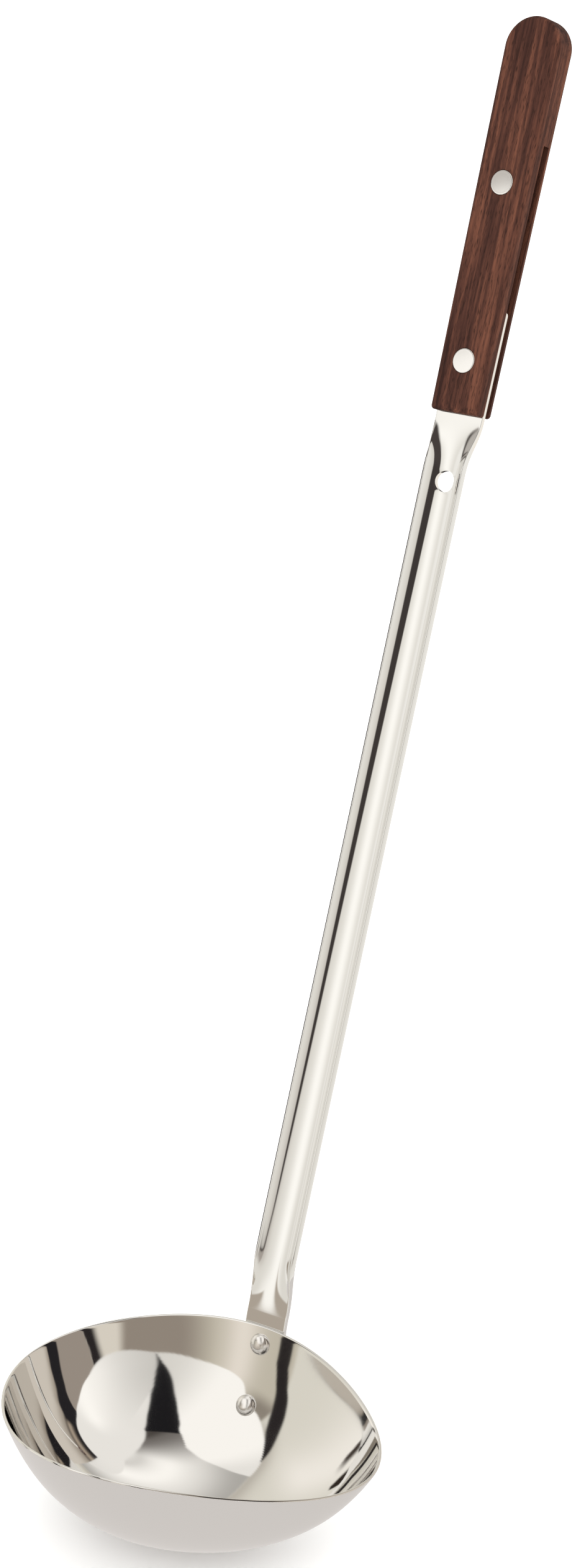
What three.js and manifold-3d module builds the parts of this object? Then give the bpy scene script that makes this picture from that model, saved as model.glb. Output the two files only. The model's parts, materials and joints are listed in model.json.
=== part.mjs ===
// Serving ladle: a lipped stainless bowl on a pressed channel shaft with a riveted wooden grip.
// Millimetres, +Z up from the level of the rim, handle rising at the back (+Y), front of the bowl at -Y.
// The origin is the centre of the hang hole.

import * as THREE from 'three';
import { mergeVertices } from 'three/addons/utils/BufferGeometryUtils.js';
import Module from 'manifold-3d';

const wasm = await Module();
wasm.setup();

// Bowl: a drawn dish, steeper at the back, whose sides are pulled out into two pouring lips
const rimWidth = 122.4; // lip to lip, inside
const rimLength = 89.6; // front to back, inside
const bowlDepth = 42.3; // from the rim at front and back to the inside of the bottom
const rimSlopeDegrees = 66; // slope of the wall at the rim, front and sides
const backSlopeDegrees = 84; // the same behind the handle
const bowlWall = 0.9;
const lipPinch = 0.115; // how far the rim narrows between the lips and the ends, across
const endPinch = 0.178; // the same, front to back
const lipBack = 11.3; // lips moved back from the middle of the length
const lipDip = 12.3; // lips below the rim at front and back
const lipDipLean = 4.2; // extra dip on the front side of each lip

// Shaft: one strip, flat at both ends and pressed between them into a trough that is open to the front
const handleLeanDegrees = 23.8; // from the bowl's axis, backwards
const sheet = 1.5;
const stripWidth = 14; // flat end on the bowl
const stripDrop = 30; // length of the flat end below the rim
const stripCorner = 4; // rounded corners of the lower end
const stripRise = 3; // flat length above the rim
const lowerBlend = 20; // run from flat strip to trough
const channelRadius = 10.3; // back of the trough
const channelHalfDegrees = 46.5; // half of the arc that it covers
const upperBlend = 12; // run from trough to flat tang
const flatBelowGrip = 1; // tang is flat from here up
const holeDiameter = 6.3;
const holeBelowGrip = 20;

// Grip: one piece of wood, slotted from below for the tang
const gripStart = 273; // rim to the lower end of the grip, along the shaft
const gripLength = 116.5;
const gripThickness = 9.4;
const gripLowerWidth = 16.4;
const gripUpperWidth = 18.6;
const gripChamfer = 1.1;
const slotLength = 80;
const tangFullLength = 30; // full-width stretch of the tang inside the grip
const tangShoulder = 5; // run from full width to the narrow tongue
const tangTongueWidth = 10;
const tangReveal = 0.15; // tang edge below the wood's side

// Rivets
const gripRivetUp = 15.1; // lower end of the grip to the lower rivet
const gripRivetSpacing = 52.4;
const gripRivetHead = 7.3;
const gripRivetHeadThickness = 1.2;
const gripRivetTube = 4.4;
const gripRivetPin = 2.4;
const gripRivetProud = 0.2;
const headEdge = 0.35; // broken edge of the rivet heads
const bowlRivetDown = 5; // rim to the upper rivet, along the wall
const bowlRivetSpacing = 18.7;
const bowlRivetShank = 3.2;
const bowlRivetHead = 5.8;
const bowlRivetDome = 2;
const bowlRivetTail = 5;
const bowlRivetTailHeight = 0.8;

// Clearances
const gap = 0.3; // between pieces that touch
const seatGap = 0.45; // between the curved wall and the flat strip riveted to it

// Facets
const bowlFacets = 64;
const bowlRings = 13;
const acrossShaft = 12;
const roundFacets = 24;
const domeRings = 5;
const probe = 1e-3; // step along the wall where its direction is measured
const weld = 1e-4; // vertices closer than this are one
const leastBend = 1e-3; // radians, stands for a flat section

const rimSlope = THREE.MathUtils.degToRad(rimSlopeDegrees);
const backSlope = THREE.MathUtils.degToRad(backSlopeDegrees);
const handleLean = THREE.MathUtils.degToRad(handleLeanDegrees);
const channelHalf = THREE.MathUtils.degToRad(channelHalfDegrees);
const channelHalfWidth = channelRadius * Math.sin(channelHalf);

const steel = { color: 0xcfccc6, roughness: 0.08, metalness: 1 };
const wood = { color: 0x4a221a, roughness: 0.5, metalness: 0 };
const rivetSteel = { color: 0xd9d6cf, roughness: 0.3, metalness: 1 };

function solidOf(geometry) {
  const bare = geometry.clone();
  bare.deleteAttribute('normal');
  bare.deleteAttribute('uv');
  const merged = mergeVertices(bare, weld);
  const triangles = [];
  for (let i = 0; i < merged.index.count; i += 3) {
    const corners = [0, 1, 2].map((k) => merged.index.getX(i + k));
    if (new Set(corners).size === 3) {
      triangles.push(...corners);
    }
  }
  return new wasm.Manifold(new wasm.Mesh({
    numProp: 3,
    vertProperties: new Float32Array(merged.attributes.position.array),
    triVerts: new Uint32Array(triangles),
  }));
}

function meshOf(name, solid, look) {
  const { vertProperties, triVerts } = solid.getMesh();
  const geometry = new THREE.BufferGeometry();
  geometry.setAttribute('position', new THREE.BufferAttribute(vertProperties, 3));
  geometry.setIndex(new THREE.BufferAttribute(triVerts, 1));
  geometry.computeVertexNormals();
  const mesh = new THREE.Mesh(geometry, new THREE.MeshStandardMaterial(look));
  mesh.name = name;
  return mesh;
}

// A turned piece about its own Y axis, from a profile that starts and ends on the axis.
function turned(profile) {
  const points = profile.map(([radius, height]) => new THREE.Vector2(radius, height));
  return solidOf(new THREE.LatheGeometry(points, roundFacets));
}

// A round cutter along Y, placed by a matrix where one is given.
function drill(diameter, from, to, matrix) {
  const geometry = new THREE.CylinderGeometry(diameter / 2, diameter / 2, to - from, roundFacets);
  geometry.translate(0, (from + to) / 2, 0);
  if (matrix) {
    geometry.applyMatrix4(matrix);
  }
  return solidOf(geometry);
}

// Bowl

// Section of a round dish by share of its arc, from 0 at the bottom to 1 at the rim.
function dish(share, slope) {
  const level = Math.cos(slope) - Math.cos(share * slope);
  return { ring: Math.sin(share * slope) / Math.sin(slope), level: level / (1 - Math.cos(slope)) };
}

// Point of the inside wall by share and by angle, which is 0 at the handle and a quarter turn at a lip.
// The section turns from the front's to the back's, and the pull on the lips grows towards the rim.
function insidePoint(share, angle) {
  const side = Math.sin(angle) ** 2;
  const end = Math.cos(angle) ** 2;
  const rise = Math.tan(share * rimSlope / 2) / Math.tan(rimSlope / 2);
  const pulled = rise * rise * (2 - rise);
  const front = dish(share, rimSlope);
  const back = dish(share, backSlope);
  const behind = ((1 + Math.cos(angle)) / 2) ** 2 * THREE.MathUtils.smoothstep(share, 0, 1);
  const ring = THREE.MathUtils.lerp(front.ring, back.ring, behind);
  const level = THREE.MathUtils.lerp(front.level, back.level, behind);
  return new THREE.Vector3(
    rimWidth / 2 * Math.sin(angle) * (ring - pulled * lipPinch * end),
    rimLength / 2 * Math.cos(angle) * (ring - pulled * endPinch * side) + pulled * lipBack * side,
    bowlDepth * level - pulled * side * (lipDip - lipDipLean * Math.cos(angle)),
  );
}

// The same point moved out through the wall, square to it.
function wallPoint(share, angle, out) {
  const point = insidePoint(share, angle);
  if (share < probe) {
    return point.add(new THREE.Vector3(0, 0, -out));
  }
  const up = insidePoint(share + probe, angle).sub(insidePoint(share - probe, angle));
  const around = insidePoint(share, angle + probe).sub(insidePoint(share, angle - probe));
  return point.addScaledVector(up.cross(around).normalize(), out);
}

// Place on the outside of the wall behind the handle, a distance below the rim measured along it.
function backWall(distance) {
  let share = 1;
  let point = wallPoint(share, 0, bowlWall);
  let run = 0;
  while (run < distance) {
    share -= probe;
    const next = wallPoint(share, 0, bowlWall);
    run += next.distanceTo(point);
    point = next;
  }
  const upward = wallPoint(share + probe, 0, bowlWall).sub(wallPoint(share - probe, 0, bowlWall)).normalize();
  return { point, outward: new THREE.Vector3(0, upward.z, -upward.y) };
}

function makeBowl() {
  const shares = Array.from({ length: bowlRings + 1 }, (_, i) => i / bowlRings);
  const wall = [
    ...shares.map((share) => ({ share, out: bowlWall })),
    ...shares.toReversed().map((share) => ({ share, out: 0 })),
  ];
  const line = wall.map((_, i) => new THREE.Vector2(1, i));
  const geometry = new THREE.LatheGeometry(line, bowlFacets);
  const position = geometry.attributes.position;
  for (let i = 0; i < position.count; i += 1) {
    const { share, out } = wall[i % wall.length];
    const turn = Math.floor(i / wall.length) % bowlFacets;
    const point = wallPoint(share, -2 * Math.PI * turn / bowlFacets, out);
    position.setXYZ(i, point.x, point.y, point.z);
  }
  return solidOf(geometry);
}

// Handle: its own frame has +Z up the shaft and +Y to the back, with the strip's mid-plane at Y = 0

const rimSeat = backWall(0);
const handlePlace = rimSeat.point.clone().addScaledVector(rimSeat.outward, seatGap + sheet / 2);
const handleMatrix = new THREE.Matrix4().makeRotationX(-handleLean).setPosition(handlePlace);
const toHandle = handleMatrix.clone().invert();

const gripEnd = gripStart + gripLength;
const slotEnd = gripStart + slotLength;
const tangEnd = slotEnd - gap;
const flatTang = gripStart - flatBelowGrip;
const rivetHeights = [gripStart + gripRivetUp, gripStart + gripRivetUp + gripRivetSpacing];
const holeHeight = gripStart - holeBelowGrip;

function gripHalfWidth(height) {
  const share = (height - gripStart) / (gripLength - gripUpperWidth / 2);
  return THREE.MathUtils.lerp(gripLowerWidth, gripUpperWidth, share) / 2;
}

// Share of the flat strip's turn into the trough, above the bowl.
function pressed(height) {
  return THREE.MathUtils.smoothstep(height, stripRise, stripRise + lowerBlend);
}

// Share of the trough's turn into the flat tang, below the grip.
function flattened(height) {
  return THREE.MathUtils.smoothstep(height, flatTang - upperBlend, flatTang);
}

// Half of the strip's width as pressed, from edge to edge of its back.
function halfWidth(height) {
  const tangHalf = gripHalfWidth(Math.max(height, gripStart)) - tangReveal;
  const fromEnd = Math.min(height + stripDrop, stripCorner);
  const corner = stripCorner - Math.sqrt(stripCorner ** 2 - (stripCorner - fromEnd) ** 2);
  const tongueStart = gripStart + tangFullLength;
  const tongue = THREE.MathUtils.smoothstep(height, tongueStart, tongueStart + tangShoulder);
  const shaft = THREE.MathUtils.lerp(stripWidth / 2 - corner, channelHalfWidth, pressed(height));
  const tang = THREE.MathUtils.lerp(shaft, tangHalf, flattened(height));
  return THREE.MathUtils.lerp(tang, tangTongueWidth / 2, tongue);
}

// Heights of the pressed sections, close together where the shape changes.
function shaftStations() {
  const tongueStart = gripStart + tangFullLength;
  const runs = [
    [-stripDrop, -stripDrop + stripCorner, 4],
    [-stripDrop + stripCorner, 0, 7],
    [0, stripRise, 1],
    [stripRise, stripRise + lowerBlend, 9],
    [stripRise + lowerBlend, flatTang - upperBlend, 5],
    [flatTang - upperBlend, flatTang, 10],
    [flatTang, tongueStart, 3],
    [tongueStart, tongueStart + tangShoulder, 4],
    [tongueStart + tangShoulder, tangEnd, 3],
  ];
  const heights = runs.flatMap(([from, to, count]) =>
    Array.from({ length: count }, (_, i) => THREE.MathUtils.lerp(from, to, i / count)));
  return [...heights, tangEnd];
}

// Middle of the strip at a height: up the shaft above the rim, along the bowl's wall below it.
function stripMiddle(height) {
  if (height >= 0) {
    return { middle: new THREE.Vector3(0, 0, height), back: new THREE.Vector3(0, 1, 0) };
  }
  const { point, outward } = backWall(-height);
  const middle = point.addScaledVector(outward, seatGap + sheet / 2).applyMatrix4(toHandle);
  return { middle, back: outward.transformDirection(toHandle) };
}

function makeShaft() {
  const stations = shaftStations();
  const runs = stations.length - 1;
  const sections = stations.map((height) => {
    const bend = Math.max(channelHalf * pressed(height) * (1 - flattened(height)), leastBend);
    return { bend, bendRadius: halfWidth(height) / Math.sin(bend) - sheet / 2, ...stripMiddle(height) };
  });
  const blank = new THREE.BoxGeometry(2, 2, runs, acrossShaft, 1, runs);
  const position = blank.attributes.position;
  for (let i = 0; i < position.count; i += 1) {
    const { bend, bendRadius, middle, back } = sections[Math.round(position.getZ(i) + runs / 2)];
    const turn = position.getX(i) * bend;
    const radius = bendRadius + position.getY(i) * sheet / 2;
    const point = middle.clone().addScaledVector(back, radius * Math.cos(turn) - bendRadius);
    position.setXYZ(i, radius * Math.sin(turn), point.y, point.z);
  }
  let solid = solidOf(blank);
  const reach = 2 * channelRadius;
  const at = (height) => new THREE.Matrix4().makeTranslation(0, 0, height);
  solid = solid.subtract(drill(holeDiameter, -reach, reach, at(holeHeight)));
  for (const height of rivetHeights) {
    solid = solid.subtract(drill(gripRivetTube + 2 * gap, -reach, reach, at(height)));
  }
  for (const place of bowlRivetPlaces) {
    const matrix = toHandle.clone().multiply(place);
    solid = solid.subtract(drill(bowlRivetShank + 2 * gap, -reach, reach, matrix));
  }
  return solid;
}

function makeGrip() {
  const shoulder = gripLength - gripUpperWidth / 2;
  const outline = new THREE.Shape();
  outline.moveTo(-gripLowerWidth / 2, 0);
  outline.lineTo(gripLowerWidth / 2, 0);
  outline.lineTo(gripUpperWidth / 2, shoulder);
  outline.absarc(0, shoulder, gripUpperWidth / 2, 0, Math.PI, false);
  outline.lineTo(-gripLowerWidth / 2, 0);
  const body = new THREE.ExtrudeGeometry(outline, {
    depth: gripThickness - 2 * gripChamfer,
    bevelThickness: gripChamfer,
    bevelSize: gripChamfer,
    bevelOffset: -gripChamfer,
    bevelSegments: 2,
    curveSegments: roundFacets / 2,
  });
  body.translate(0, 0, gripChamfer - gripThickness / 2);
  body.rotateX(Math.PI / 2);
  body.translate(0, 0, gripStart);
  const slotHeight = slotLength + gripChamfer;
  const slot = new THREE.BoxGeometry(2 * gripUpperWidth, sheet + 2 * gap, slotHeight);
  slot.translate(0, 0, slotEnd - slotHeight / 2);
  let solid = solidOf(body).subtract(solidOf(slot));
  for (const height of rivetHeights) {
    const matrix = new THREE.Matrix4().makeTranslation(0, 0, height);
    const face = gripThickness / 2;
    const seat = face - gripRivetHeadThickness + gripRivetProud - gap;
    solid = solid.subtract(drill(gripRivetTube + 2 * gap, -face, face, matrix));
    solid = solid.subtract(drill(gripRivetHead + 2 * gap, -face - gap, -seat, matrix));
    solid = solid.subtract(drill(gripRivetHead + 2 * gap, seat, face + gap, matrix));
  }
  return solid;
}

// Grip rivets, about the handle's Y axis: the tube's head is in front and the pin's head behind

const headFace = gripThickness / 2 + gripRivetProud;
const headSeat = headFace - gripRivetHeadThickness;

function makeRivetTube() {
  const bore = gripRivetPin / 2 + gap;
  return turned([
    [0, -headFace],
    [gripRivetHead / 2 - headEdge, -headFace],
    [gripRivetHead / 2, -headFace + headEdge],
    [gripRivetHead / 2, -headSeat],
    [gripRivetTube / 2, -headSeat],
    [gripRivetTube / 2, headSeat - gap],
    [bore, headSeat - gap],
    [bore, -headSeat],
    [0, -headSeat],
  ]);
}

function makeRivetPin() {
  return turned([
    [0, -headSeat + gap],
    [gripRivetPin / 2, -headSeat + gap],
    [gripRivetPin / 2, headSeat],
    [gripRivetHead / 2, headSeat],
    [gripRivetHead / 2, headFace - headEdge],
    [gripRivetHead / 2 - headEdge, headFace],
    [0, headFace],
  ]);
}

// Bowl rivets: the axis runs out through the wall, with the strip's back face beyond it

function rivetPlace(distance) {
  const { point, outward } = backWall(distance);
  return new THREE.Matrix4().makeRotationX(Math.atan2(outward.z, outward.y)).setPosition(point);
}

const bowlRivetPlaces = [rivetPlace(bowlRivetDown), rivetPlace(bowlRivetDown + bowlRivetSpacing)];

// Points of a low dome from its edge to the axis, as an arc of the circle through both.
function domeArc(diameter, height, base, direction) {
  const radius = (diameter * diameter / 4 + height * height) / (2 * height);
  const half = Math.atan2(diameter / 2, radius - height);
  return Array.from({ length: domeRings + 1 }, (_, i) => {
    const angle = half * (1 - i / domeRings);
    return [radius * Math.sin(angle), base + direction * (height - radius * (1 - Math.cos(angle)))];
  });
}

function makeBowlRivet() {
  const inside = -bowlWall - gap;
  const behind = seatGap + sheet + gap;
  return turned([
    ...domeArc(bowlRivetHead, bowlRivetDome, inside, -1).toReversed(),
    [bowlRivetShank / 2, inside],
    [bowlRivetShank / 2, behind],
    ...domeArc(bowlRivetTail, bowlRivetTailHeight, behind, 1),
  ]);
}

// Assembly

const ladle = new THREE.Group();

let bowlSolid = makeBowl();
for (const place of bowlRivetPlaces) {
  const reach = 2 * bowlWall;
  bowlSolid = bowlSolid.subtract(drill(bowlRivetShank + 2 * gap, -reach, reach, place));
}
ladle.add(meshOf('bowl', bowlSolid, steel));

['upper_bowl_rivet', 'lower_bowl_rivet'].forEach((name, i) => {
  const rivet = meshOf(name, makeBowlRivet(), rivetSteel);
  rivet.applyMatrix4(bowlRivetPlaces[i]);
  ladle.add(rivet);
});

const handle = new THREE.Group();
handle.applyMatrix4(handleMatrix);
handle.add(meshOf('handle_shaft', makeShaft(), steel));
handle.add(meshOf('wooden_grip', makeGrip(), wood));
['lower', 'upper'].forEach((name, i) => {
  const rivet = new THREE.Group();
  rivet.position.z = rivetHeights[i];
  rivet.add(meshOf(`${name}_grip_rivet_tube`, makeRivetTube(), rivetSteel));
  rivet.add(meshOf(`${name}_grip_rivet_pin`, makeRivetPin(), rivetSteel));
  handle.add(rivet);
});
ladle.add(handle);

// The middle of the hang hole becomes the origin.
const holeCentre = new THREE.Vector3(0, 0, holeHeight).applyMatrix4(handleMatrix);
ladle.position.copy(holeCentre).negate();

export default ladle;
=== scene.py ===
import json
import math

import bmesh
import bpy
import numpy as np
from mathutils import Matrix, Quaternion, Vector


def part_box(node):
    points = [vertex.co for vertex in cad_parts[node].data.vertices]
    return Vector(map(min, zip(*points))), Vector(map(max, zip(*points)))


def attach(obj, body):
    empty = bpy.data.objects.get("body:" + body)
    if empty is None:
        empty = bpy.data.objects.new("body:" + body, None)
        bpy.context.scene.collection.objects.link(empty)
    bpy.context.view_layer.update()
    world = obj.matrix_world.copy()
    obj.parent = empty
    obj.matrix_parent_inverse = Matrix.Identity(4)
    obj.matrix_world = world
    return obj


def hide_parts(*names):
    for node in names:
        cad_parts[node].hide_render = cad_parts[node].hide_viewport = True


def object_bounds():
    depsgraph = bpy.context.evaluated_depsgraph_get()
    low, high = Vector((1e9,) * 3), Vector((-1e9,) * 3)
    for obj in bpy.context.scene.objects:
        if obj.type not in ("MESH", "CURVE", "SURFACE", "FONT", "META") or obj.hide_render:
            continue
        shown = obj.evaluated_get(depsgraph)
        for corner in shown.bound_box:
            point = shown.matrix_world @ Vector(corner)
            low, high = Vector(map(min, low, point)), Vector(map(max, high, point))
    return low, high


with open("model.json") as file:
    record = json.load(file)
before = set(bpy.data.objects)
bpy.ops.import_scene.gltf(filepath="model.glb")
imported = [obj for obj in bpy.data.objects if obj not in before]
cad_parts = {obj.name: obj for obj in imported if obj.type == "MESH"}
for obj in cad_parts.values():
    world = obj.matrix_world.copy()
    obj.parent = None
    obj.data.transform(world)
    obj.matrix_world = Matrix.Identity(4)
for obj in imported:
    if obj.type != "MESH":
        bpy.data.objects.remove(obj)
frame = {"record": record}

cadLow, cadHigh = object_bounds()  # the CAD box, before anything is dressed
mm = 0.001
weld = 0.002 * mm  # points closer than this become one


# Small helpers

def linearColour(hexCode):  # sRGB hex to linear RGBA
    parts = np.array([int(hexCode[at:at + 2], 16) for at in (1, 3, 5)]) / 255
    linear = np.where(parts <= 0.04045, parts / 12.92, ((parts + 0.055) / 1.055) ** 2.4)
    return (*linear.tolist(), 1.0)


def addNode(tree, kind, settings, inputs):  # a node with its settings, values and incoming links
    node = tree.nodes.new(kind)
    for name, value in settings.items():
        setattr(node, name, value)
    for name, value in inputs.items():
        if isinstance(value, bpy.types.NodeSocket):
            tree.links.new(value, node.inputs[name])
        else:
            node.inputs[name].default_value = value
    return node


def newMaterial(name):  # a material with an empty node tree
    material = bpy.data.materials.new(name)
    material.use_nodes = True
    material.node_tree.nodes.clear()
    return material, material.node_tree


def smoothStep(value, start, end):  # 0 before start, 1 after end, a cubic ease between
    share = np.clip((value - start) / (end - start), 0, 1)
    return share * share * (3 - 2 * share)


def gentleStep(value, start, end):  # the same with no kink in its curvature, for mirror faces
    share = np.clip((value - start) / (end - start), 0, 1)
    return share ** 3 * (10 - 15 * share + 6 * share * share)


def gridQuads(rows, columns, start):  # corner numbers of every quad of a grid of points
    index = start + np.arange(rows * columns).reshape(rows, columns)
    return np.stack([index[:-1, :-1], index[1:, :-1], index[1:, 1:], index[:-1, 1:]], -1).reshape(-1, 4)


def surfacePiece(name, grids, creaseDegrees=40):  # grids of points in mm, welded into one closed mesh
    points, quads, start = [], [], 0
    for grid in grids:
        rows, columns, _ = grid.shape
        points.append(grid.reshape(-1, 3) * mm)
        quads.append(gridQuads(rows, columns, start))
        start += rows * columns
    mesh = bpy.data.meshes.new(name)
    mesh.from_pydata(np.concatenate(points).tolist(), [], np.concatenate(quads).tolist())
    work = bmesh.new()
    work.from_mesh(mesh)
    bmesh.ops.remove_doubles(work, verts=work.verts, dist=weld)
    bmesh.ops.dissolve_degenerate(work, edges=work.edges, dist=weld / 2)
    bmesh.ops.recalc_face_normals(work, faces=work.faces)
    work.to_mesh(mesh)
    work.free()
    mesh.shade_smooth()
    mesh.set_sharp_from_angle(angle=math.radians(creaseDegrees))
    piece = bpy.data.objects.new(name, mesh)
    bpy.context.scene.collection.objects.link(piece)
    return piece


def dress(piece, node, material):  # a finished piece takes its node's place
    piece.data.materials.clear()
    piece.data.materials.append(material)
    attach(piece, "root")
    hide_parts(node)
    return piece


def latheGrid(profile, turns):  # profile of (radius, height) rows carried once round the Y axis
    angle = np.linspace(0, 2 * np.pi, turns + 1)
    radius, height = np.array(profile, float).T[:, :, None]
    return np.stack([radius * np.cos(angle), height + 0 * angle, radius * np.sin(angle)], -1)


# Materials

def polishedStainless():
    # Stainless sheet, drawn and buffed to a mirror: the eye sees the room, faintly warm, a little softened
    look = dict(colour="#e7e6e4", roughness=0.03, cloudMm=14, cloudFrom=0.3, cloudTo=0.7, cloudRoughness=0.02)
    material, tree = newMaterial("stainless_buffed_mirror")
    place = addNode(tree, "ShaderNodeTexCoord", {}, {})
    cloud = addNode(tree, "ShaderNodeTexNoise", {}, {
        "Vector": place.outputs["Object"], "Scale": 1 / (look["cloudMm"] * mm), "Detail": 3.0})
    haze = addNode(tree, "ShaderNodeMapRange", {}, {
        "Value": cloud.outputs["Fac"], "From Min": look["cloudFrom"], "From Max": look["cloudTo"],
        "To Min": look["roughness"], "To Max": look["roughness"] + look["cloudRoughness"]})
    shader = addNode(tree, "ShaderNodeBsdfPrincipled", {}, {
        "Base Color": linearColour(look["colour"]), "Metallic": 1.0, "Roughness": haze.outputs["Result"]})
    addNode(tree, "ShaderNodeOutputMaterial", {}, {"Surface": shader.outputs["BSDF"]})
    return material


def groundStainless():
    # Rivet steel, ground flush with the wood: a soft satin with fine straight scratches
    look = dict(colour="#eeecea", roughness=0.22, scratchMm=0.25, scratchStretch=0.06, scratchDepthMm=0.004,
                scratchRelief=0.5)
    material, tree = newMaterial("stainless_ground_satin")
    place = addNode(tree, "ShaderNodeTexCoord", {}, {})
    stretched = addNode(tree, "ShaderNodeMapping", {}, {
        "Vector": place.outputs["Object"], "Scale": (1.0, look["scratchStretch"], look["scratchStretch"])})
    scratch = addNode(tree, "ShaderNodeTexNoise", {}, {
        "Vector": stretched.outputs["Vector"], "Scale": 1 / (look["scratchMm"] * mm), "Detail": 2.0})
    relief = addNode(tree, "ShaderNodeBump", {}, {
        "Height": scratch.outputs["Fac"], "Distance": look["scratchDepthMm"] * mm,
        "Strength": look["scratchRelief"]})
    shader = addNode(tree, "ShaderNodeBsdfPrincipled", {}, {
        "Base Color": linearColour(look["colour"]), "Metallic": 1.0, "Roughness": look["roughness"],
        "Normal": relief.outputs["Normal"]})
    addNode(tree, "ShaderNodeOutputMaterial", {}, {"Surface": shader.outputs["BSDF"]})
    return material


def oiledHardwood(leanAngle):
    # Dense brown hardwood, sawn along the grain, sanded, oiled: soft dark streaks, short pores, little gloss
    look = dict(dark="#2c1a16", middle="#442921", light="#663f30", pore="#271712", steps=(0.36, 0.5, 0.66),
                streakMm=1.1, bandMm=4.5, streakShare=0.55, stretch=0.04,
                poreMm=0.3, poreFrom=0.54, poreTo=0.72, poreShare=0.8, poreStretch=0.12, poreDepthMm=0.03,
                poreRelief=0.8, roughness=0.55, ior=1.5, gloss=0.05)
    material, tree = newMaterial("hardwood_sanded_oiled")
    place = addNode(tree, "ShaderNodeTexCoord", {}, {})
    upright = addNode(tree, "ShaderNodeMapping", {}, {
        "Vector": place.outputs["Object"], "Rotation": (leanAngle, 0.0, 0.0)})
    along = addNode(tree, "ShaderNodeMapping", {}, {
        "Vector": upright.outputs["Vector"], "Scale": (1.0, 1.0, look["stretch"])})
    short = addNode(tree, "ShaderNodeMapping", {}, {
        "Vector": upright.outputs["Vector"], "Scale": (1.0, 1.0, look["poreStretch"])})
    streak = addNode(tree, "ShaderNodeTexNoise", {}, {
        "Vector": along.outputs["Vector"], "Scale": 1 / (look["streakMm"] * mm),
        "Detail": 4.0, "Roughness": 0.6})
    band = addNode(tree, "ShaderNodeTexNoise", {}, {
        "Vector": along.outputs["Vector"], "Scale": 1 / (look["bandMm"] * mm), "Detail": 2.0})
    pore = addNode(tree, "ShaderNodeTexNoise", {}, {
        "Vector": short.outputs["Vector"], "Scale": 1 / (look["poreMm"] * mm), "Detail": 1.0})
    tone = addNode(tree, "ShaderNodeMath", {"operation": "MULTIPLY"}, {
        0: streak.outputs["Fac"], 1: look["streakShare"]})
    mixed = addNode(tree, "ShaderNodeMath", {"operation": "MULTIPLY_ADD"}, {
        0: band.outputs["Fac"], 1: 1 - look["streakShare"], 2: tone.outputs["Value"]})
    ramp = addNode(tree, "ShaderNodeValToRGB", {}, {"Fac": mixed.outputs["Value"]})
    darkest, middle, lightest = look["steps"]
    ramp.color_ramp.elements[0].position = darkest
    ramp.color_ramp.elements[0].color = linearColour(look["dark"])
    ramp.color_ramp.elements[1].position = lightest
    ramp.color_ramp.elements[1].color = linearColour(look["light"])
    ramp.color_ramp.elements.new(middle).color = linearColour(look["middle"])
    pit = addNode(tree, "ShaderNodeMapRange", {}, {
        "Value": pore.outputs["Fac"], "From Min": look["poreFrom"], "From Max": look["poreTo"],
        "To Max": look["poreShare"]})
    colour = addNode(tree, "ShaderNodeMix", {"data_type": "RGBA"}, {
        "Factor": pit.outputs["Result"], 6: ramp.outputs["Color"], 7: linearColour(look["pore"])})
    relief = addNode(tree, "ShaderNodeBump", {"invert": True}, {
        "Height": pit.outputs["Result"], "Distance": look["poreDepthMm"] * mm,
        "Strength": look["poreRelief"]})
    shader = addNode(tree, "ShaderNodeBsdfPrincipled", {}, {
        "Base Color": colour.outputs[2], "Roughness": look["roughness"], "IOR": look["ior"],
        "Specular IOR Level": look["gloss"], "Normal": relief.outputs["Normal"]})
    addNode(tree, "ShaderNodeOutputMaterial", {}, {"Surface": shader.outputs["BSDF"]})
    return material


# The handle's own directions, from the record's hang hole: along runs up the shaft, back runs behind it
holeAxis = Vector(next(mount for mount in frame["record"]["mounts"] if mount["name"] == "hang_hole")["axis"])
lean = math.atan2(holeAxis.z, -holeAxis.y)
handleBack = np.array([0, math.cos(lean), -math.sin(lean)])
handleAlong = np.array([0, math.sin(lean), math.cos(lean)])
handleAcross = np.array([1.0, 0, 0])


def fromHandle(points):  # handle points (across, back, along) in mm to the row frame
    return points @ np.stack([handleAcross, handleBack, handleAlong])


steel = polishedStainless()
rivetSteel = groundStainless()
wood = oiledHardwood(lean)
print("materials made")


# Bowl

bowlSizes = dict(rimWidth=121.0, rimLength=89.6, depth=42.3, rimSlope=66, backSlope=84, wall=0.9,
                 lipPinch=0.115, endPinch=0.178, lipBack=11.3, lipDip=12.3, lipDipLean=4.2,
                 flare=1.25, flareFrom=0.8, rings=104, turns=360, rimSteps=8)
wallSteps = 400  # points along the middle of the back wall, where strip and rivets are set


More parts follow.
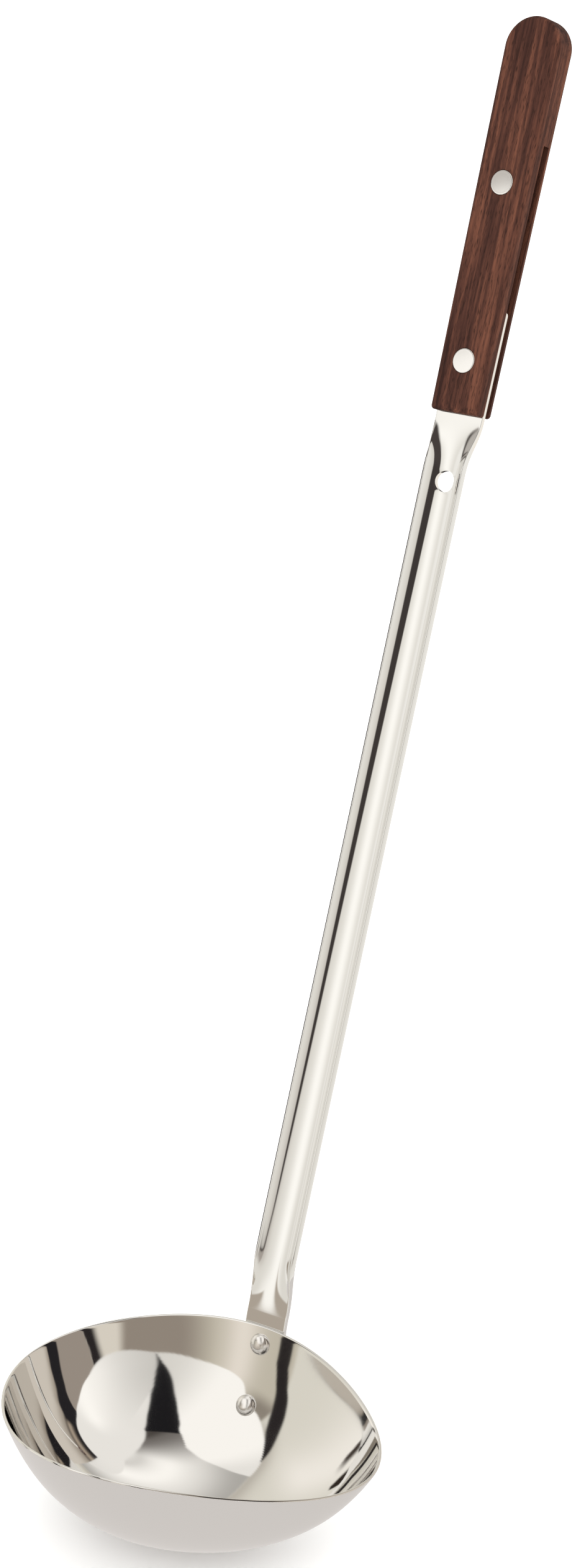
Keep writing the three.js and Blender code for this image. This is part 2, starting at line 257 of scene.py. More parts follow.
def bowlInside(share, angle):
    # Inside wall by share of its arc (0 bottom, 1 rim) and angle (0 handle): an ellipsoid section, steeper at
    # the back, whose sides are pulled out, back and down by sine squared of the angle, more towards the rim;
    # past flareFrom the wall moves out by the square of the share, so that the back stops getting steeper
    sizes = bowlSizes
    front, back = math.radians(sizes["rimSlope"]), math.radians(sizes["backSlope"])
    side, end = np.sin(angle) ** 2, np.cos(angle) ** 2
    rise = np.tan(share * front / 2) / math.tan(front / 2)
    pulled = rise * rise * (2 - rise)
    behind = ((1 + np.cos(angle)) / 2) ** 2 * smoothStep(share, 0, 1)
    ring = ((1 - behind) * np.sin(share * front) / math.sin(front)
            + behind * np.sin(share * back) / math.sin(back))
    level = ((1 - behind) * (math.cos(front) - np.cos(share * front)) / (1 - math.cos(front))
             + behind * (math.cos(back) - np.cos(share * back)) / (1 - math.cos(back)))
    across = sizes["rimWidth"] / 2 * np.sin(angle) * (ring - pulled * sizes["lipPinch"] * end)
    length = sizes["rimLength"] / 2 * np.cos(angle) * (ring - pulled * sizes["endPinch"] * side)
    height = sizes["depth"] * level - pulled * side * (sizes["lipDip"] - sizes["lipDipLean"] * np.cos(angle))
    top = np.maximum(share - sizes["flareFrom"], 0) / (1 - sizes["flareFrom"])
    flared = sizes["flare"] * top * top * (1 - np.sin(angle / 2) ** 4)
    length = length + pulled * sizes["lipBack"] * side + flared * np.cos(angle)
    return np.stack([across + flared * np.sin(angle), length, height], -1)


def bowlDirections(share, angle):  # unit outward normal and upward tangent of the wall, from small steps
    step = 1e-4
    up = bowlInside(share + step, angle) - bowlInside(share - step, angle)
    around = bowlInside(share, angle + step) - bowlInside(share, angle - step)
    out = np.cross(up, around)
    return tuple(way / np.linalg.norm(way, axis=-1, keepdims=True) for way in (out, up))


def bowlGrid():
    # Inside wall up, a half-round over the rim, outside wall down, all turned round the bowl
    sizes = bowlSizes
    angle = np.linspace(0, 2 * np.pi, sizes["turns"] + 1)
    share = np.linspace(0, 1, sizes["rings"])[:, None]
    shareKept = np.maximum(share, 1e-3)
    inside = bowlInside(share, angle)
    out, _ = bowlDirections(shareKept, angle + 0 * shareKept)
    out[0] = (0, 0, -1)
    outside = inside + sizes["wall"] * out
    rimOut, rimUp = bowlDirections(1.0, angle)
    turn = np.linspace(0, np.pi, sizes["rimSteps"] + 2)[1:-1, None, None]
    edge = inside[-1] + sizes["wall"] / 2 * ((1 - np.cos(turn)) * rimOut + np.sin(turn) * rimUp)
    return np.concatenate([inside, edge, outside[::-1]])


grid = bowlGrid()
low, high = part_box("bowl")
bowlBack = high.y / mm + bowlSizes["flare"] / 2  # half of the flare goes past the CAD's rim
bowlPlace = np.array([0, bowlBack - grid[..., 1].max(), low.z / mm - grid[..., 2].min()])
bowl = dress(surfacePiece("bowl_shell", [grid + bowlPlace]), "bowl", steel)
print("bowl made")


# Handle shaft

shaftSizes = dict(sheet=1.5, edge=0.25, stripWidth=14, stripDrop=30, stripCorner=4, stripRise=3,
                  lowerBlend=20, channelRadius=10.3, channelHalf=46.5, upperBlend=18,
                  hole=6.3, dish=0.06, dishReach=0.9, rimToHole=253, gripUp=20,
                  tangFull=30, tangShoulder=5, tangTongue=10, tangReveal=0.15, tangEndGap=0.3,
                  seatGap=0.45, rimBend=7,
                  faceSteps=24, edgeSteps=6, cornerRows=10, rowMm=0.7, holeRows=28, dishRows=6, wallRows=4)
gripSizes = dict(length=116.5, thickness=9.4, lowerWidth=16.4, upperWidth=18.6,
                 round=1.3, backRound=2.4, lowerRound=3.2, lowerCorner=0.8,
                 slotFront=0.78, slotBack=2.0, slot=80, cutPast=1.0,
                 rivetUp=15.1, rivetSpacing=52.4, headHole=7.5, headSeat=1.0,
                 roundSteps=10, sideRows=45, acrossSteps=12, seatTurns=48, creaseDegrees=30)


def gripHalfWidth(height):  # straight taper of the grip's side, by height above its lower end
    sizes = gripSizes
    share = height / (sizes["length"] - sizes["upperWidth"] / 2)
    return (sizes["lowerWidth"] + (sizes["upperWidth"] - sizes["lowerWidth"]) * share) / 2


def stripShape(height):
    # Section by height above the hole, as the arc that the strip is pressed to: bend on each side (radians)
    # and radius of its middle; flat at the bowl, a trough open to the front, flat again into the tang
    sizes = shaftSizes
    fromRim = height + sizes["rimToHole"]
    pressed = gentleStep(fromRim, sizes["stripRise"], sizes["stripRise"] + sizes["lowerBlend"])
    flattened = gentleStep(height, sizes["gripUp"] - sizes["upperBlend"], sizes["gripUp"])
    tongueStart = sizes["gripUp"] + sizes["tangFull"]
    tongue = smoothStep(height, tongueStart, tongueStart + sizes["tangShoulder"])
    fromEnd = np.clip(fromRim + sizes["stripDrop"], 0, sizes["stripCorner"])
    corner = sizes["stripCorner"] - np.sqrt(sizes["stripCorner"] ** 2 - (sizes["stripCorner"] - fromEnd) ** 2)
    arc = math.radians(sizes["channelHalf"])
    flat = sizes["stripWidth"] / 2 - corner
    width = (1 - pressed) * flat + pressed * sizes["channelRadius"] * math.sin(arc)
    tang = gripHalfWidth(np.maximum(height - sizes["gripUp"], 0)) - sizes["tangReveal"]
    width = (1 - flattened) * width + flattened * tang
    width = (1 - tongue) * width + tongue * sizes["tangTongue"] / 2
    bend = np.maximum(arc * pressed * (1 - flattened), 1e-3)  # never quite flat, so that a radius exists
    return bend, width / np.sin(bend) - sizes["sheet"] / 2


def stripPath(height):
    # Middle of the strip by height: along the bowl's outside below the rim, straight up the handle above it,
    # eased from one to the other over the bend
    sizes = shaftSizes
    share = np.linspace(1.05, 0.2, wallSteps)  # from a little past the rim to below the strip's end
    wallOut, _ = bowlDirections(share, 0 * share)
    away = bowlSizes["wall"] + sizes["seatGap"] + sizes["sheet"] / 2
    wall = bowlInside(share, 0 * share) + away * wallOut + bowlPlace
    run = np.concatenate([[0], np.cumsum(np.linalg.norm(np.diff(wall, axis=0), axis=1))])
    run -= np.interp(-1.0, -share, run)
    fromRim = height + sizes["rimToHole"]
    below = np.stack([np.interp(-fromRim, run, wall[:, axis]) for axis in range(3)], -1)
    above = fromHandle(np.stack([0 * height, 0 * height, height], -1))
    ease = smoothStep(fromRim, -sizes["rimBend"], sizes["rimBend"])[:, None]
    return below * (1 - ease) + above * ease


def shaftRows():  # heights of the rows, even along the shaft, close at the hang hole and the lower corners
    sizes = shaftSizes
    radius = sizes["hole"] / 2
    bottom = -sizes["rimToHole"] - sizes["stripDrop"]
    corner = bottom + sizes["stripCorner"] * (1 - np.cos(np.linspace(0, np.pi / 2, sizes["cornerRows"])))
    top = sizes["gripUp"] + gripSizes["slot"] - sizes["tangEndGap"]
    dished = radius + sizes["dishReach"]
    lower = np.linspace(corner[-1], -dished, int((-dished - corner[-1]) / sizes["rowMm"]))
    hole = -radius * np.cos(np.linspace(0, np.pi, sizes["holeRows"] + 1))
    close = np.linspace(radius, dished, sizes["dishRows"])
    upper = np.linspace(dished, top, int((top - dished) / sizes["rowMm"]))
    return np.concatenate([corner, lower[1:], -close[-2::-1], hole[1:], close[1:], upper[1:]])


def sectionHalf(width, opening):
    # Half of the strip's section from the middle of its front round the edge to the middle of its back:
    # a slab with rounded corners; opening moves the middle of front and back aside where the hang hole is
    sizes = shaftSizes
    half, edge = sizes["sheet"] / 2, sizes["edge"]
    face = np.linspace(0, 1, sizes["faceSteps"])
    turn = np.linspace(0, np.pi / 2, sizes["edgeSteps"])[1:]
    reach = width[:, None] - edge
    corner = reach + edge * np.sin(turn)
    front, back = (
        np.concatenate([aside[:, None] + face * (reach - aside[:, None]), corner], 1) for aside in opening)
    depth = np.concatenate([np.full(len(face), -half), -half + edge * (1 - np.cos(turn))])
    return np.concatenate([front, back[:, ::-1]], 1), np.concatenate([depth, -depth[::-1]])


def shaftGrids():
    # The section is rolled to its bend and carried along the path; the hole's wall and the ends close it
    sizes = shaftSizes
    height = shaftRows()
    bend, radius = stripShape(height)
    chord = np.sqrt(np.maximum((sizes["hole"] / 2) ** 2 - height ** 2, 0))
    chord[chord < 1e-3] = 0
    opening = [radius * np.arcsin(np.minimum(chord / (radius + face * sizes["sheet"] / 2), 1))
               for face in (-1, 1)]
    across, depth = sectionHalf(radius * bend, opening)
    turn = across / radius[:, None]
    roll = radius[:, None] + depth
    side = roll * np.sin(turn)
    behind = roll * np.cos(turn) - radius[:, None]
    fromHole = np.hypot(side, height[:, None]) - sizes["hole"] / 2
    rolledIn = np.clip(1 - fromHole / sizes["dishReach"], 0, 1) ** 2 * (depth < 0)
    behind += sizes["dish"] * rolledIn  # the punched edge, on the front only
    path = stripPath(height)
    step = 0.05
    tangent = stripPath(height + step) - stripPath(height - step)
    tangent /= np.linalg.norm(tangent, axis=1, keepdims=True)
    back = np.stack([0 * height, tangent[:, 2], -tangent[:, 1]], -1)
    right = path[:, None] + behind[..., None] * back[:, None] + side[..., None] * handleAcross
    left = right * np.array([-1.0, 1, 1])
    inHole = np.nonzero(chord > 0)[0]
    rows = slice(inHole[0] - 1, inHole[-1] + 2)
    wallShare = np.linspace(0, 1, sizes["wallRows"])[:, None]
    grids = []
    for half in (right, left):
        grids.append(half)
        grids.append(half[rows, :1] * (1 - wallShare) + half[rows, -1:] * wallShare)
        count = half.shape[1] // 2
        for end in (0, -1):
            grids.append(np.stack([half[end, :count], half[end, ::-1][:count]]))
    return grids


shaft = dress(surfacePiece("pressed_shaft", shaftGrids()), "handle_shaft", steel)
print("shaft made")


# Wooden grip

def standBack(depth, radius):  # how far a rounded corner stands back, by depth below the face beside it
    return radius - np.sqrt(radius ** 2 - np.clip(radius - depth, 0, radius) ** 2)


def gripLoops():
    # Plan outline of the grip, inset by the edge rounding, stacked through the thickness:
    # right side up, half-round top, left side down, lower end across, rounded over more than the sides
    sizes = gripSizes
    turn = np.linspace(0, np.pi / 2, sizes["roundSteps"] + 1)
    depth = sizes["backRound"] * (1 - np.cos(turn))
    level = np.concatenate([depth - sizes["thickness"] / 2, sizes["thickness"] / 2 - depth[::-1]])[:, None]
    front, back = standBack(depth, sizes["round"]), standBack(depth[::-1], sizes["backRound"])
    inset = np.concatenate([front, back])[:, None]
    foot = sizes["lowerRound"] * np.concatenate([front / sizes["round"], back / sizes["backRound"]])[:, None]
    radius = sizes["upperWidth"] / 2
    shoulder = sizes["length"] - radius
    corner = sizes["lowerCorner"] * (1 - np.cos(turn))
    rise = np.concatenate([corner, np.linspace(corner[-1], shoulder, sizes["sideRows"])[1:]])[None, :]
    straight = foot + rise * (shoulder - foot) / shoulder
    arc = np.linspace(0, np.pi / 2, sizes["sideRows"])[None, 1:]
    height = np.concatenate([straight, shoulder + (radius - inset) * np.sin(arc)], 1)
    side = gripHalfWidth(straight) - inset - standBack(rise, sizes["lowerCorner"])
    width = np.concatenate([side, (radius - inset) * np.cos(arc)], 1)
    rightSide = np.stack([width, level + 0 * width, height], -1)
    leftSide = rightSide * np.array([-1.0, 1, 1])
    across = np.linspace(-1, 1, sizes["acrossSteps"] + 1)[None, :]
    lower = np.stack([width[:, :1] * across, level + 0 * across, foot + 0 * across], -1)
    band = np.concatenate([rightSide, leftSide[:, ::-1], lower], 1)
    share = (across[0] + 1)[:, None] / 2
    faces = [leftSide[row][:, None] * (1 - share) + rightSide[row][:, None] * share for row in (0, -1)]
    return [band, *faces]


def cutFrom(piece, cutters):  # boolean cut, applied, cutters removed
    for cutter in cutters:
        cut = piece.modifiers.new("cut", "BOOLEAN")
        cut.object = cutter
        cut.operation = "DIFFERENCE"
        cut.solver = "EXACT"
    dressed = piece.evaluated_get(bpy.context.evaluated_depsgraph_get())
    mesh = bpy.data.meshes.new_from_object(dressed)
    piece.modifiers.clear()
    piece.data = mesh
    for cutter in cutters:
        bpy.data.objects.remove(cutter)


gripPlace = np.array([0, 0, shaftSizes["gripUp"]])
gripRivetUp = dict(lower=gripSizes["rivetUp"], upper=gripSizes["rivetUp"] + gripSizes["rivetSpacing"])
grip = surfacePiece("grip_wood", [fromHandle(part + gripPlace) for part in gripLoops()])


def gripCutters():  # the saw slot and the four seats of the rivet heads
    sizes = gripSizes
    reach, front, back = sizes["upperWidth"], -sizes["slotFront"], sizes["slotBack"]
    corner = np.array([[-reach, front], [-reach, back], [reach, back], [reach, front], [-reach, front]])
    ends = (-sizes["cutPast"], sizes["slot"])
    sides = np.stack([np.column_stack([corner, np.full(len(corner), level)]) for level in ends])
    caps = [np.stack([loop[:2], loop[[3, 2]]]) for loop in sides]
    cutters = [surfacePiece("slot", [fromHandle(part + gripPlace) for part in (sides, *caps)])]
    face = sizes["thickness"] / 2
    radius = sizes["headHole"] / 2
    for up in gripRivetUp.values():
        for sign in (-1, 1):
            seat, past = sign * (face - sizes["headSeat"]), sign * (face + sizes["cutPast"])
            profile = [(0, seat), (radius, seat), (radius, past), (0, past)]
            ring = latheGrid(profile, sizes["seatTurns"]) + np.array([0, 0, up])
            cutters.append(surfacePiece("seat", [fromHandle(ring + gripPlace)]))
    return cutters


cutFrom(grip, gripCutters())
grip.data.shade_smooth()
grip.data.set_sharp_from_angle(angle=math.radians(gripSizes["creaseDegrees"]))
dress(grip, "wooden_grip", wood)
print("grip made")


# Rivets

rivetSizes = dict(head=7.3, headThickness=1.2, proud=0.2, edge=0.3, tube=4.4, pin=2.4,
                  crown=0.06, crownShare=0.88, bowlHead=6.4, bowlDome=2.0, bowlDomePower=2.4,
                  bowlTail=5.0, bowlTailHeight=0.8, bowlShank=3.2, bowlDown=5, bowlSpacing=18.7,
                  turns=64, crownSteps=8, edgeSteps=5, domeSteps=14)


def gripRivetProfile(sign, shank):
    # A thin round head, its face crowned a hair and its edge broken, on a shank through the grip
    sizes = rivetSizes
    face = gripSizes["thickness"] / 2 + sizes["proud"]
    radius = sizes["head"] / 2
    share = np.linspace(0, 1, sizes["crownSteps"])
    crown = zip(radius * sizes["crownShare"] * share, face + sizes["crown"] * (1 - share * share))
    turn = np.linspace(0, np.pi / 2, sizes["edgeSteps"])
    edge = zip(radius - sizes["edge"] * (1 - np.sin(turn)), face - sizes["edge"] * (1 - np.cos(turn)))
    under = face - sizes["headThickness"]
    rest = [(radius, under), (shank / 2, under), (shank / 2, 0.0), (0, 0.0)]
    return [(reach, sign * height) for reach, height in (*crown, *edge, *rest)]


gripRivets = []
for name, up in gripRivetUp.items():
    for kind, sign, shank in (("tube", -1, rivetSizes["tube"]), ("pin", 1, rivetSizes["pin"])):
        ring = latheGrid(gripRivetProfile(sign, shank), rivetSizes["turns"]) + np.array([0, 0, up])
        rivet = surfacePiece(f"{name}_grip_rivet_{kind}_head", [fromHandle(ring + gripPlace)])
        gripRivets.append(dress(rivet, f"{name}_grip_rivet_{kind}", rivetSteel))


def bowlRivetProfile():
    # A domed head inside the bowl, a shank through both sheets and a low dome behind the strip
    sizes = rivetSizes
    inside = -bowlSizes["wall"]
    behind = shaftSizes["seatGap"] + shaftSizes["sheet"]
    share = np.sin(np.linspace(0, np.pi / 2, sizes["domeSteps"]))
    swell = np.sqrt(np.maximum(1 - share ** sizes["bowlDomePower"], 0))
    dome = zip(sizes["bowlHead"] / 2 * share, inside - sizes["bowlDome"] * swell)
    share = share[::-1]
    tail = zip(sizes["bowlTail"] / 2 * share, behind + sizes["bowlTailHeight"] * (1 - share * share))
    return [*dome, (sizes["bowlShank"] / 2, inside), (sizes["bowlShank"] / 2, behind), *tail]


def bowlRivet(name, down):  # the profile set square to the back wall, a distance below the rim
    share = np.linspace(1, 0.2, wallSteps)
    out, _ = bowlDirections(share, 0 * share)
    wall = bowlInside(share, 0 * share) + bowlSizes["wall"] * out
    run = np.concatenate([[0], np.cumsum(np.linalg.norm(np.diff(wall, axis=0), axis=1))])
    spot = int(np.searchsorted(run, down))
    axes = np.stack([handleAcross, out[spot], np.cross(handleAcross, out[spot])])
    ring = latheGrid(bowlRivetProfile(), rivetSizes["turns"]) @ axes + wall[spot] + bowlPlace
    return dress(surfacePiece(name + "_head", [ring]), name, rivetSteel)


bowlRivets = [bowlRivet("upper_bowl_rivet", rivetSizes["bowlDown"]),
              bowlRivet("lower_bowl_rivet", rivetSizes["bowlDown"] + rivetSizes["bowlSpacing"])]
print("rivets made")


# Stage

# The floor inside the tents is painted shade: near the ladle the steel reflects a darker grey copy of the
# floor, not the pale floor that the camera sees
stageSizes = dict(floorRadius=9.0, floorTurns=128, floorColour="#f8f8f7", tentFloorPaintedShade="#b2aeac",
                  worldColour="#ffffff", worldStrength=1.8)


def studioFloor(name, radius, colour, hiddenFrom):  # a plain disc under the bowl, hidden from some rays
    angle = np.linspace(0, 2 * np.pi, stageSizes["floorTurns"] + 1)
    reach = np.array([0, radius])[:, None] / mm
    middle = np.array(tentSizes["seenFrom"])[:, None, None] / mm
    points = np.stack([middle[0] + reach * np.cos(angle), middle[1] + reach * np.sin(angle),
                       cadLow.z / mm + 0 * reach * angle], -1)
    floor = surfacePiece(name, [points])
    material, tree = newMaterial(name + "_paper_matt")
    shader = addNode(tree, "ShaderNodeBsdfDiffuse", {}, {"Color": linearColour(colour)})
    addNode(tree, "ShaderNodeOutputMaterial", {}, {"Surface": shader.outputs["BSDF"]})
    floor.data.materials.append(material)
    for ray in hiddenFrom:
        setattr(floor, "visible_" + ray, False)


# The light tents round the ladle, which the polished steel shows: one for the bowl and one for the handle.
# A place on a tent is an azimuth az (0 in front, positive to the right) and an elevation el, both in degrees
# as seen from the bowl. Colours are as the steel shows them
tentSizes = dict(bowlRadius=6.0, handleRadius=0.6, floorRadius=0.2, lowest=-24, step=0.6, glow=1.25,
                 seenFrom=(0, -0.148, -0.245))


def through(value, *places):  # smooth curve through a few (place, height) pairs, level beyond its ends
    spot, height = np.array(places, float).T
    slope = np.gradient(height, spot)
    before = np.clip(np.searchsorted(spot, value) - 1, 0, len(spot) - 2)
    after = before + 1
    wide = spot[after] - spot[before]
    share = np.clip((value - spot[before]) / wide, 0, 1)
    rest = 1 - share
    return (rest * rest * ((1 + 2 * share) * height[before] + wide * share * slope[before])
            + share * share * ((1 + 2 * rest) * height[after] - wide * rest * slope[after]))


def over(value, edge, soft=1.2):  # 0 below the edge, 1 above it, with a soft step
    return smoothStep(value, edge - soft / 2, edge + soft / 2)


def near(value, middle, reach):  # 1 at the middle, falling off like a bell
    return np.exp(-((value - middle) / reach) ** 2)


def bowlRoom(az, el, lay):
    # Softboxes left and right with a dark wedge between them and dark gaps beside them, over a grey room
    lay(1 + 0 * az, "#e4e1dc")
    lay(near(el, 72, 5) * over(-az, 58, 44), "#f9f6f1")  # the tent's bright top left
    lay(near(el, 80.5, 2.5) * over(-az, 40, 20), "#d3d0cb")
    lay(over(-el, -57, 20) * over(-az, 62, 12), "#aba8a3")
    roof = through(az, (-180, 58), (-158, 67), (-133, 79.5), (-110, 82.5), (-80, 82.5), (-60, 81.5),
                   (-50, 80.5), (-40, 78.7), (-30, 76), (-21, 72), (-13, 68))
    under = over(-el, -roof, 1.5) * over(el, 55, 2) * over(-az, 12, 1)
    lay(under * over(az, -47, 46), "#6c6763")  # grey fan left of the wedge
    lay(under * over(az, -23, 8), "#4a4541")
    wallTop = through(az, (-110, 48), (-100, 48), (-90, 47.2), (-80, 44.8), (-70, 40), (-60, 34))
    wall = over(-el, -wallTop, 1.5) * over(-az, 44, 2)
    lay(wall, "#d5d1c6")  # left wall of the tent
    lay(wall * near(az, -83, 13) * over(-el, -34, 14), "#ece7df")
    lay(wall * near(el, wallTop, 4), "#b6b0a6")
    low = over(-el, -34, 4) * over(az, -48, 2) * over(-az, -29, 1)
    lay(low, "#bdb6a7")  # low front, behind the camera
    lay(low * near(az, -25, 7), "#e0d8cd")
    lay(low * over(az, -10, 14), "#8f857a")
    lay(low * over(el, 20, 10) * over(-az, 36, 12), "#8a8277")
    lay(over(-el, -40) * over(az, 8 + el / 5, 3) * over(-az, -29, 1), "#d4cdc1")  # its paler right end
    gapEnd = through(el, (8, 28), (17, 29), (25, 27.5), (30, 26.6), (37, 27.2))
    lay(over(-el, -42) * over(az, 21, 4) * over(-az, -gapEnd, 1), "#292525")  # dark gap right of the middle
    right = over(az, gapEnd, 1)
    lay(right, "#958b81")  # grey wall on the right
    lay(right * over(-el, -15, 9), "#cdc8c2")
    arcLow = through(az, (72, 20), (75, 27), (80, 37), (85, 42), (90, 47), (100, 52), (110, 55.5),
                     (120, 60), (130, 61))
    arcLeft = through(el, (20, 56), (30, 57), (38, 60), (45, 65.5), (50, 70), (56, 76), (61, 80), (67, 84))
    lay(over(az, 72, 3) * over(-el, -arcLow, 3), "#c8c0b5")  # warm wall behind on the right
    lay(over(az, 72, 3) * near(el, arcLow, 7), "#9c9286")
    lay(over(az, arcLeft, 3) * over(el, arcLow, 4) * over(el, 17, 5), "#242224")  # long dark arc
    lay(over(az, 128, 12) * near(el, 64.5, 2.5), "#a09282")  # its warm end
    rightEdge = through(az, (3, 19.2), (10, 22.7), (20, 30.8), (30, 40.8), (40, 50.2), (50, 58.1),
                        (60, 63.4), (70, 66.4), (80, 68.5), (90, 70.4), (110, 71.5))
    rightBox = np.maximum(over(el, rightEdge, 1) * over(az, 1, 0.6), over(el, roof, 1.5) * over(-az, -3, 1))
    lay(rightBox, "#e6e3de")  # right softbox and the top
    lay(rightBox * near(az, 48, 26) * over(-el, -80, 12), "#fbf8f3")
    lay(rightBox * over(-el, -52, 50) * over(-az, -14, 28), "#c8c5c0")
    boxLow = through(az, (-79, 44.5), (-70, 40), (-60, 35.5), (-50, 31), (-44, 28.5), (-36, 26.5),
                     (-33, 22.5), (-30, 18), (-25, 15), (-18, 14), (-10, 15), (0, 17.6), (3, 19.2))
    boxTop = through(az, (-79, 44.5), (-75, 49.3), (-70, 53.5), (-60, 60), (-50, 62.5), (-40, 63), (-30, 60))
    boxRight = through(el, (19.2, 3), (25, -0.6), (30, -3.1), (35, -5.4), (40, -7.8), (45, -11.2),
                       (50, -15.3), (55, -21.3), (60, -29.4), (63, -42))
    wedgeEnd = through(el, (19.2, 3.1), (25, 2.9), (30, 2.5), (35, 1.9), (40, 1), (45, 0.4), (50, -1.2),
                       (55, -3.1), (60, -5.6), (65, -9.8), (68, -13), (71, -19))
    wedge = over(-az, -wedgeEnd, 0.7) * over(az, boxRight, 0.7) * over(az, 1.65 * el - 128, 2)
    lay(wedge * over(el, 19.2, 0.6) * over(-el, -71, 2), "#1c1b1d")  # dark wedge between the softboxes
    leftBox = over(el, boxLow, 0.8) * over(-el, -boxTop, 1.2) * over(-az, -boxRight, 0.7) * over(az, -79)
    lay(leftBox, "#f8f5f0")  # left softbox
    lay(leftBox * over(az, -11, 22), "#d6d3cd")
    lay(leftBox * over(-az, 66, 16), "#e4e1dc")
    gapLeft = through(el, (1, -46), (10, -50), (18, -53.3), (29.5, -60), (36, -66), (40, -70))
    gapRight = through(el, (2, -40.5), (8, -43), (20, -47), (28, -51), (32, -54.5), (35.5, -60), (40, -69.5))
    lay(over(az, gapLeft, 1) * over(-az, -gapRight, 1) * over(-el, -40), "#292525")  # dark gap on the left
    farSliver = through(el, (5, -90.5), (12, -92.5), (15.5, -95))  # two dark slivers far on the left
    lay(over(az, -97.5, 1) * over(-az, -farSliver, 2) * over(-el, -15.5, 1) * over(el, 5, 2), "#2c241f")
    nearSliver = through(el, (2, -82.6), (8, -84), (20, -89.5))
    lay(over(az, nearSliver - 3, 3) * over(-az, -nearSliver, 0.8) * over(-el, -10, 10), "#3a312b")


def handleRoom(az, el, lay):
    # Pale all round, brightest on the left, with one dark wedge in front that opens upwards into a dark top
    lay(1 + 0 * az, "#dad7d0")
    lay(near(az, -38, 29) * over(el, 8, 16), "#fcfaf5")  # the left card
    lay(over(-az, 79, 12), "#ebe9e4")
    lay(over(az, 66, 34), "#e9e7e2")
    lay(near(az, 33, 13) * over(el, 4, 16), "#c4bfb8")  # shade round the wedge
    leftTop = through(az, (-104, 34), (-90, 45), (-75, 52.5), (-60, 57))
    lay(over(el, leftTop, 3) * over(-az, 57, 8), "#b2ada7")  # dim upper left corner, darkest at its edge
    lay(near(el, leftTop + 1.6, 2.4) * over(-az, 66, 16), "#524d4a")
    lay(over(-az, 108, 8) * over(-el, -28, 6), "#45403e")  # what the left cut edge shows
    lay(over(az, 112, 20), "#eee8df")  # and the tang's right edge
    tail = through(az, (31, 17.8), (40, 13), (48, 10.8), (57, 9.8))
    lay(over(-el, -tail, 1) * over(az, 33, 5) * over(-az, -53, 8) * over(el, 4, 9), "#a39c95")
    lay(near(el, tail, 0.9) * over(az, 31, 3) * over(-az, -52, 8), "#3f3936")  # thin foot of the wedge
    darkLeft = through(el, (17, 29.5), (25, 22.5), (35, 16.5), (45, 8.5), (54, 1.5), (60, 0.5))
    darkRight = through(el, (17, 33.5), (25, 33.5), (32, 36.5), (40, 38.5), (52, 41))
    lay(over(az, darkLeft, 5) * over(-az, -darkRight, 5) * over(el, 17.5, 2), "#3d3836")  # the wedge
    top = through(az, (-54, 61), (-45, 65.5), (-30, 68), (-15, 67), (0, 61), (8, 56))
    lay(over(el, top, 6) * over(az, -55, 8) * over(-az, -42, 6), "#453f3d")
    lay(over(az, -46, 4) * over(-az, 26, 3) * over(-el, -11.5, 2), "#aaa094")  # what the flat foot shows


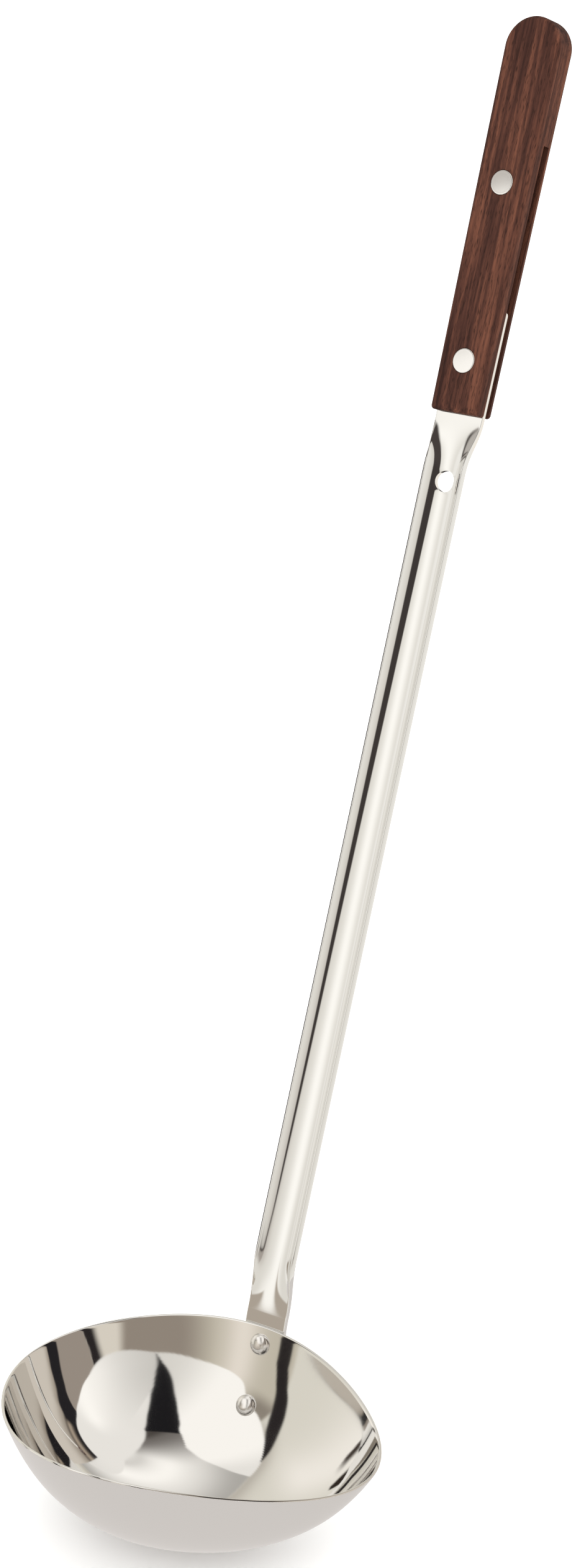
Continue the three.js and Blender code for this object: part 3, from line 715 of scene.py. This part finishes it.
def paintedDome(name, room, radius, clear, shownOn):
    # A dome of directions, closed below the floor, seen only in reflections, and only by the pieces in
    # shownOn; a clear one lets the other pieces look through it
    sizes = tentSizes
    rows = np.arange(sizes["lowest"], 90 + sizes["step"], sizes["step"]).clip(max=90)
    el = np.radians(np.concatenate([[-90], rows]))[:, None]
    az = np.radians(np.linspace(-180, 180, int(360 / sizes["step"]) + 1))
    away = np.stack([np.cos(el) * np.sin(az), -np.cos(el) * np.cos(az), np.sin(el) + 0 * az], -1)
    centre = np.array(sizes["seenFrom"]) / mm
    dome = surfacePiece(name, [centre + radius / mm * away])
    mesh = dome.data
    points = np.empty(len(mesh.vertices) * 3)
    mesh.vertices.foreach_get("co", points)
    away = (points.reshape(-1, 3) - sizes["seenFrom"]) / radius
    tone = np.zeros((len(away), 3))

    def lay(mask, hexCode):  # one soft-edged patch over what is there
        tone[...] += mask[:, None] * (np.array(linearColour(hexCode)[:3]) - tone)

    along, up = np.arctan2(away[:, 0], -away[:, 1]), np.arcsin(away[:, 2].clip(-1, 1))
    room(np.degrees(along), np.degrees(up), lay)
    painted = mesh.attributes.new("tone", "FLOAT_COLOR", "POINT")
    painted.data.foreach_set("color", np.column_stack([tone, np.ones(len(tone))]).ravel())
    material, tree = newMaterial(name + "_cloth")
    colour = addNode(tree, "ShaderNodeAttribute", {"attribute_name": "tone"}, {})
    shader = addNode(tree, "ShaderNodeEmission", {}, {
        "Color": colour.outputs["Color"], "Strength": sizes["glow"]})
    if clear:
        clearGauze = addNode(tree, "ShaderNodeBsdfTransparent", {}, {})
        shader = addNode(tree, "ShaderNodeAddShader", {}, {0: shader.outputs[0], 1: clearGauze.outputs[0]})
    addNode(tree, "ShaderNodeOutputMaterial", {}, {"Surface": shader.outputs[0]})
    material.cycles.emission_sampling = "NONE"
    mesh.materials.append(material)
    for ray in ("camera", "diffuse", "shadow", "transmission", "volume_scatter"):
        setattr(dome, "visible_" + ray, False)
    receivers = bpy.data.collections.new(name + "_shown_on")
    for piece in shownOn:
        receivers.objects.link(piece)
    dome.light_linking.receiver_collection = receivers


studioFloor("floor", stageSizes["floorRadius"], stageSizes["floorColour"], ["glossy"])
# a second floor disc, seen only in reflections and painted darker grey than the first: painted shade on the
# floor near the ladle
studioFloor("floor_in_tent_painted_shade", tentSizes["floorRadius"], stageSizes["tentFloorPaintedShade"],
            ["camera", "diffuse", "shadow"])
paintedDome("bowl_tent", bowlRoom, tentSizes["bowlRadius"], False, [bowl, *bowlRivets])
paintedDome("handle_tent", handleRoom, tentSizes["handleRadius"], True, [shaft, grip, *gripRivets])
world = bpy.data.worlds.new("studio")
bpy.context.scene.world = world
world.use_nodes = True
world.node_tree.nodes.clear()
glow = addNode(world.node_tree, "ShaderNodeBackground", {}, {
    "Color": linearColour(stageSizes["worldColour"]), "Strength": stageSizes["worldStrength"]})
addNode(world.node_tree, "ShaderNodeOutputWorld", {}, {"Surface": glow.outputs["Background"]})
bpy.context.scene.view_settings.view_transform = "Standard"
print("stage made")


# Camera

cameraSizes = dict(place=(0.63289, -0.92597, 0.36472), aim=(-0.02155, -0.05209, -0.0814), rollDegrees=-1.98,
                   focalPixels=6515, longSidePixels=2527, sensorMm=36, clipEnd=100)
cameraData = bpy.data.cameras.new("camera")
cameraData.sensor_width = cameraSizes["sensorMm"]
cameraData.lens = cameraSizes["focalPixels"] / cameraSizes["longSidePixels"] * cameraSizes["sensorMm"]
cameraData.clip_end = cameraSizes["clipEnd"]
camera = bpy.data.objects.new("camera", cameraData)
bpy.context.scene.collection.objects.link(camera)
camera.location = cameraSizes["place"]
view = Vector(cameraSizes["aim"]) - Vector(cameraSizes["place"])
camera.rotation_mode = "QUATERNION"
camera.rotation_quaternion = view.to_track_quat("-Z", "Y") @ Quaternion(
    (0, 0, 1), math.radians(cameraSizes["rollDegrees"]))
bpy.context.scene.camera = camera
print("camera set")
